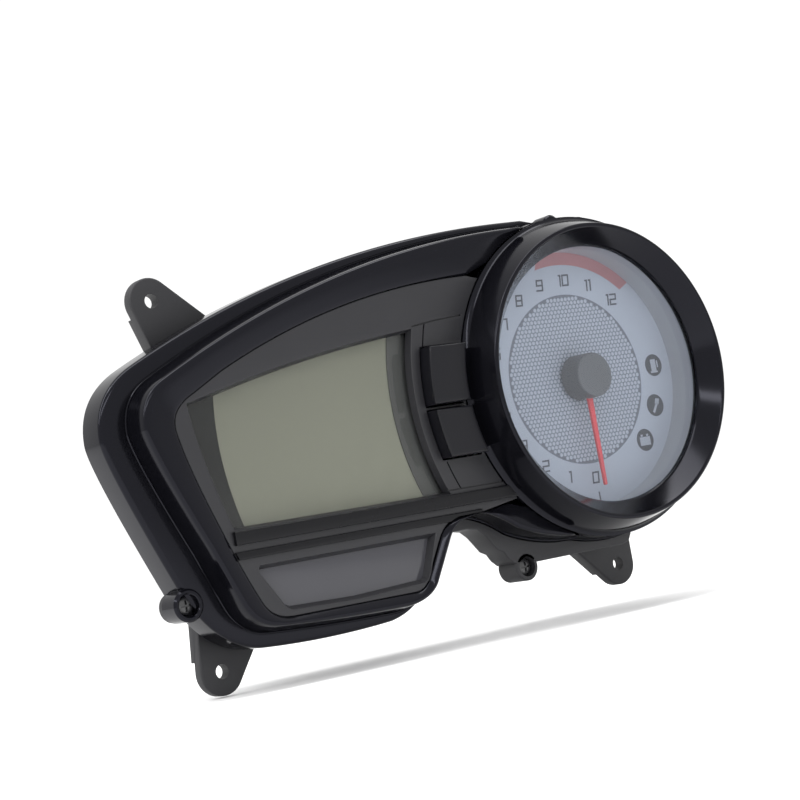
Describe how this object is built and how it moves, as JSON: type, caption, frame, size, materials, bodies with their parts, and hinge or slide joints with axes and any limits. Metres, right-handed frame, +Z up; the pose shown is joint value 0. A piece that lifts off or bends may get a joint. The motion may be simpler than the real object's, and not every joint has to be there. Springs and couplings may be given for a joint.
{
  "type": "motorcycle instrument cluster",
  "caption": "Wide motorcycle instrument cluster with a round rev counter dial, a display window, a lamp strip, push buttons and screw ears.",
  "frame": {"origin": "centre of the lower right ear's screw hole, on the ear's front face", "axes": "+X to the rider's right, +Y into the housing away from the rider, +Z up; the dial faces -Y"},
  "size_m": [0.2431, 0.0612, 0.1387],
  "materials": {
    "cover_gloss_abs": "high gloss black ABS",
    "panel_matt_abs": "fine grained charcoal ABS",
    "housing_pp": "matt black glass filled polypropylene",
    "clear_pc": "clear polycarbonate",
    "window_pmma": "clear acrylic",
    "lamp_pmma": "smoked acrylic",
    "gasket_rubber": "black silicone rubber",
    "surround_abs": "silver grey ABS",
    "dial_print": "screen printed polycarbonate sheet",
    "guide_pmma": "milky acrylic",
    "white_pc": "white reflective polycarbonate",
    "pointer_red": "translucent red acrylic",
    "hub_grey": "satin grey ABS",
    "steel": "ground steel",
    "motor_black": "black PBT",
    "tinned": "tin plated brass",
    "button_rubber": "satin black ABS",
    "plunger_red": "moulded nylon",
    "switch_black": "moulded nylon",
    "mask_print": "black printed film",
    "lcd_cell": "liquid crystal cell with grey green polariser",
    "film_print": "printed polyester film",
    "led_package": "LED package with yellow phosphor",
    "board_fr4": "green solder mask on glass epoxy",
    "screw_zinc": "zinc plated steel",
    "screw_black": "black oxide steel",
    "chip_epoxy": "black epoxy",
    "capacitor_can": "sleeved aluminium can",
    "header_pbt": "natural PBT"
  },
  "bodies": {
    "housing": {"front_cover": "cover_gloss_abs", "inner_panel": "panel_matt_abs", "shelf_trim": "panel_matt_abs", "tacho_ring": "cover_gloss_abs", "tacho_lens": "clear_pc", "lens_gasket": "gasket_rubber", "dial_surround": "surround_abs", "dial_plate": "dial_print", "dial_light_guide": "guide_pmma", "dial_frame": "white_pc", "stepper_motor": "motor_black", "motor_pins": "tinned", "tact_switches": "switch_black", "lcd_window": "window_pmma", "lcd_mask": "mask_print", "lcd_glass": "lcd_cell", "lcd_diffuser": "guide_pmma", "lcd_housing": "white_pc", "lcd_pins": "tinned", "telltale_lens": "lamp_pmma", "telltale_film": "film_print", "telltale_light_box": "white_pc", "telltale_leds": "led_package", "backlight_leds": "led_package", "dial_leds": "led_package", "main_pcb": "board_fr4", "pcb_screws": "screw_zinc", "controller_chip": "chip_epoxy", "capacitors": "capacitor_can", "voltage_regulator": "chip_epoxy", "connector_header": "header_pbt", "connector_pins": "tinned", "housing_seal": "gasket_rubber", "rear_housing": "housing_pp", "housing_screws": "screw_black", "rear_cover_screws": "screw_black", "breather_cap": "gasket_rubber"},
    "pointer_assembly": {"pointer": "pointer_red", "pointer_hub": "hub_grey", "motor_shaft": "steel"},
    "upper_key": {"upper_button": "button_rubber", "upper_plunger": "plunger_red"},
    "lower_key": {"lower_button": "button_rubber", "lower_plunger": "plunger_red"}
  },
  "joints": [
    {"name": "pointer_sweep", "type": "hinge", "parent": "housing", "child": "pointer_assembly", "pos_m": [-0.0154, -0.014, 0.0653], "axis": [0, 1, 0], "range_deg": [0, 222]},
    {"name": "upper_key_press", "type": "slide", "parent": "housing", "child": "upper_key", "axis": [0, 1, 0], "range_m": [0, 0.0012], "stiffness_N_per_m": 1500},
    {"name": "lower_key_press", "type": "slide", "parent": "housing", "child": "lower_key", "axis": [0, 1, 0], "range_m": [0, 0.0012], "stiffness_N_per_m": 1500}
  ]
}
